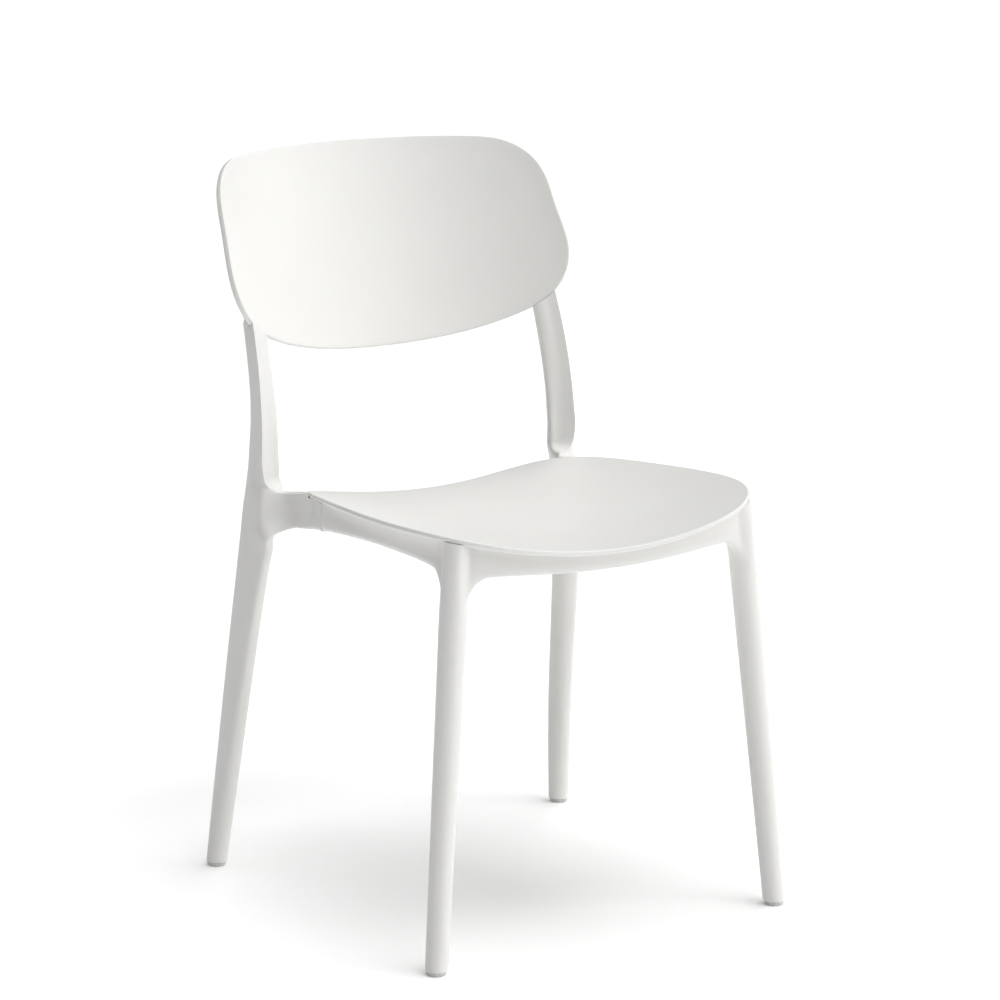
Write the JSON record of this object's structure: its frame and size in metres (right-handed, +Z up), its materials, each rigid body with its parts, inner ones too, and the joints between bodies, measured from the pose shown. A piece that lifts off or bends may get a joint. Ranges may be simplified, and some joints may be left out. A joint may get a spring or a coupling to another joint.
{
  "type": "stacking chair",
  "caption": "White moulded stacking side chair with a saddle seat, a curved tilted back panel let into two uprights, and round tapered legs",
  "frame": {"origin": "on the floor, in the middle of the chair's footprint", "axes": "+Z up; a sitter faces -Y; +X is to the right of someone who looks at the chair's front"},
  "size_m": [0.4776, 0.5767, 0.7828],
  "materials": {
    "shell_white": "fine matte grain",
    "frame_white": "smooth satin",
    "glide_white": "plain nylon",
    "zinc_steel": "zinc plated",
    "brass": "plain turned"
  },
  "bodies": {
    "root": {"back_screw_cap_left_lower": "frame_white", "back_screw_cap_left_upper": "frame_white", "back_screw_cap_right_lower": "frame_white", "back_screw_cap_right_upper": "frame_white", "back_screw_left_lower": "zinc_steel", "back_screw_left_upper": "zinc_steel", "back_screw_right_lower": "zinc_steel", "back_screw_right_upper": "zinc_steel", "backrest_shell": "shell_white", "cross_rail_bolt_left_front": "zinc_steel", "cross_rail_bolt_left_rear": "zinc_steel", "cross_rail_bolt_right_front": "zinc_steel", "cross_rail_bolt_right_rear": "zinc_steel", "cross_rail_insert_left_front": "brass", "cross_rail_insert_left_rear": "brass", "cross_rail_insert_right_front": "brass", "cross_rail_insert_right_rear": "brass", "foot_glide_front_left": "glide_white", "foot_glide_front_right": "glide_white", "foot_glide_rear_left": "glide_white", "foot_glide_rear_right": "glide_white", "frame_bolt_left_front": "zinc_steel", "frame_bolt_left_rear": "zinc_steel", "frame_bolt_right_front": "zinc_steel", "frame_bolt_right_rear": "zinc_steel", "frame_insert_left_front": "brass", "frame_insert_left_rear": "brass", "frame_insert_right_front": "brass", "frame_insert_right_rear": "brass", "front_frame": "frame_white", "rear_cross_rail": "frame_white", "rear_side_frame_left": "frame_white", "rear_side_frame_right": "frame_white", "seat_screw_front_left": "zinc_steel", "seat_screw_front_right": "zinc_steel", "seat_screw_rear_left": "zinc_steel", "seat_screw_rear_right": "zinc_steel", "seat_shell": "shell_white"}
  },
  "joints": []
}
